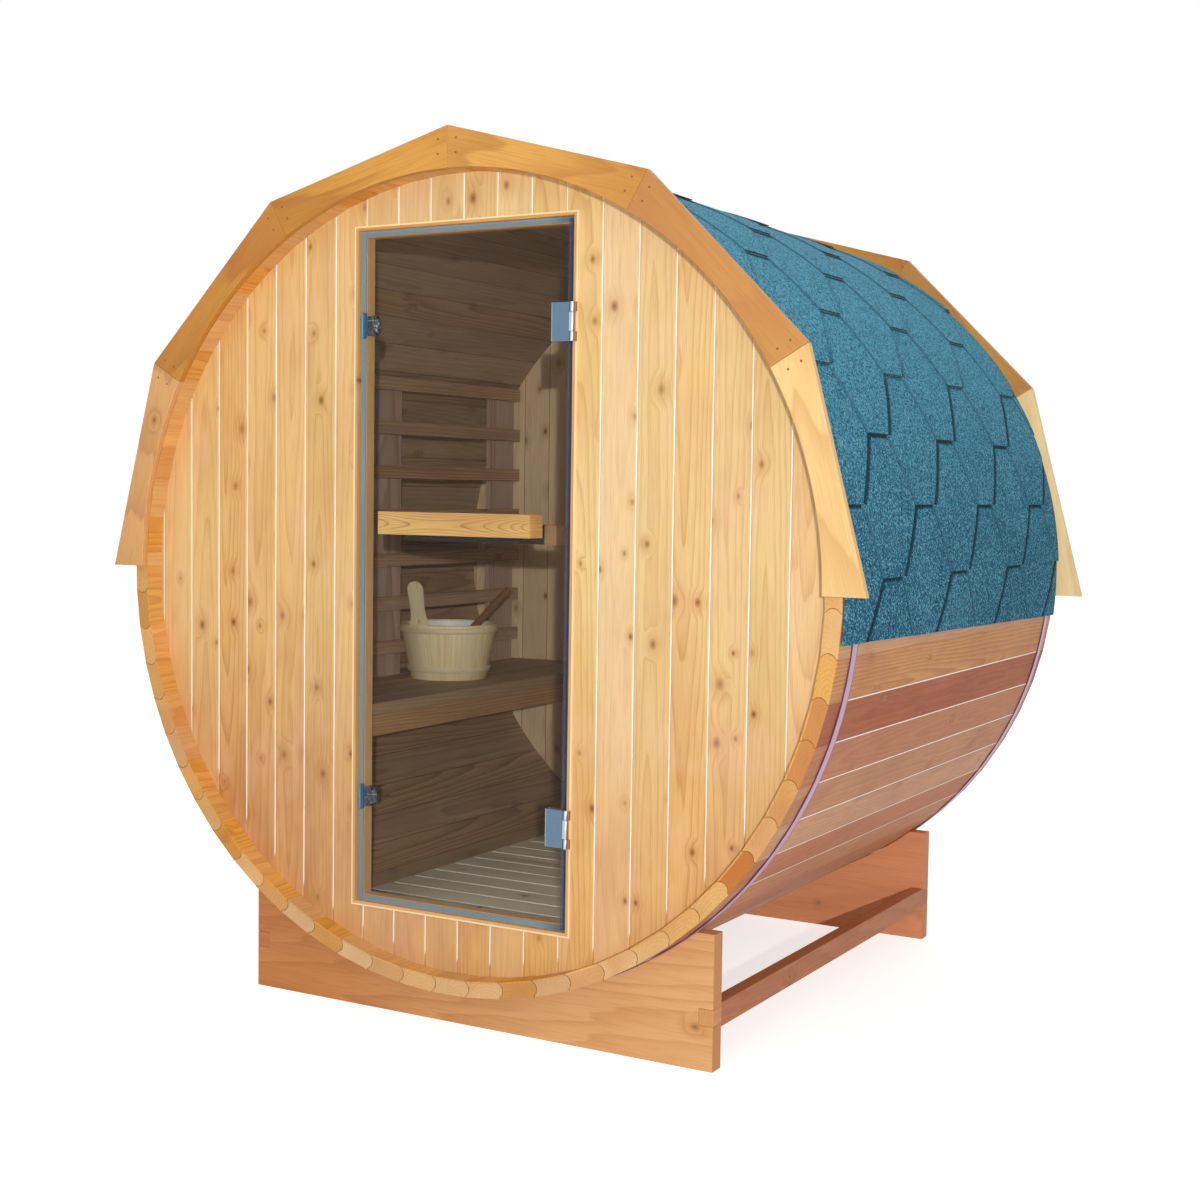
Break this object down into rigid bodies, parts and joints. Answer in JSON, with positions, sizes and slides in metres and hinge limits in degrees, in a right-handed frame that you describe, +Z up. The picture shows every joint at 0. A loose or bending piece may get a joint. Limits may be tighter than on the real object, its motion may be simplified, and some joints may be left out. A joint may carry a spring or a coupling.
{
  "type": "barrel sauna",
  "caption": "Barrel-shaped outdoor sauna cabin of coopered staves on two cradles, with a framed glass door, recessed board end walls, shingled roof, bench, backrest and pail.",
  "frame": {"origin": "middle of the ground area under the cabin, at the undersides of the cradles", "axes": "+X to the right of someone facing the door, +Y from the door into the cabin along the barrel's axis, +Z up"},
  "size_m": [1.9742, 1.536, 1.9807],
  "materials": {
    "wall_wood": "planed pine, clear oil",
    "stave_wood": "planed pine, reddish stain",
    "fascia_wood": "planed pine, orange oil",
    "cradle_wood": "planed pine, red-brown stain",
    "inner_wood": "planed, untreated",
    "pail_wood": "pale lacquered pine",
    "ladle_wood": "dark oiled wood",
    "door_glass": "grey tinted toughened glass",
    "hinge_steel": "satin",
    "hoop_steel": "satin strip",
    "roof_shingle": "mineral grit on bitumen",
    "seal": "soft grey-blue strip",
    "catch_black": "black moulded",
    "liner_white": "white insert"
  },
  "bodies": {
    "cabin": {"front_cradle": "cradle_wood", "back_cradle": "cradle_wood", "stretchers": "cradle_wood", "right_staves": "stave_wood", "upper_right_staves": "stave_wood", "top_staves": "stave_wood", "upper_left_staves": "stave_wood", "left_staves": "stave_wood", "lower_left_staves": "stave_wood", "bottom_staves": "stave_wood", "lower_right_staves": "stave_wood", "front_hoop": "hoop_steel", "back_hoop": "hoop_steel", "front_wall_left": "wall_wood", "front_wall_right": "wall_wood", "front_wall_top": "wall_wood", "front_wall_bottom": "wall_wood", "back_wall_left": "wall_wood", "back_wall_right": "wall_wood", "left_jamb": "wall_wood", "right_jamb": "wall_wood", "door_head": "wall_wood", "door_sill": "wall_wood", "door_seal": "seal", "hinge_brackets": "hinge_steel", "roller_catches": "catch_black", "front_fascia_left": "fascia_wood", "front_fascia_right": "fascia_wood", "back_fascia_left": "fascia_wood", "back_fascia_right": "fascia_wood", "roof_left": "roof_shingle", "roof_right": "roof_shingle", "floor_slats": "inner_wood", "floor_bearers": "inner_wood", "bench_slats": "inner_wood", "bench_frame": "inner_wood", "backrest_slats": "inner_wood", "backrest_posts": "inner_wood", "pail": "pail_wood", "pail_liner": "liner_white", "pail_bands": "pail_wood", "ladle": "ladle_wood"},
    "door": {"door_glass": "door_glass", "hinge_clamps": "hinge_steel", "door_handle": "fascia_wood"}
  },
  "joints": [
    {"name": "door_hinge", "type": "hinge", "parent": "cabin", "child": "door", "pos_m": [0.2835, -0.712, 1], "axis": [0, 0, 1], "range_deg": [0, 105]}
  ]
}
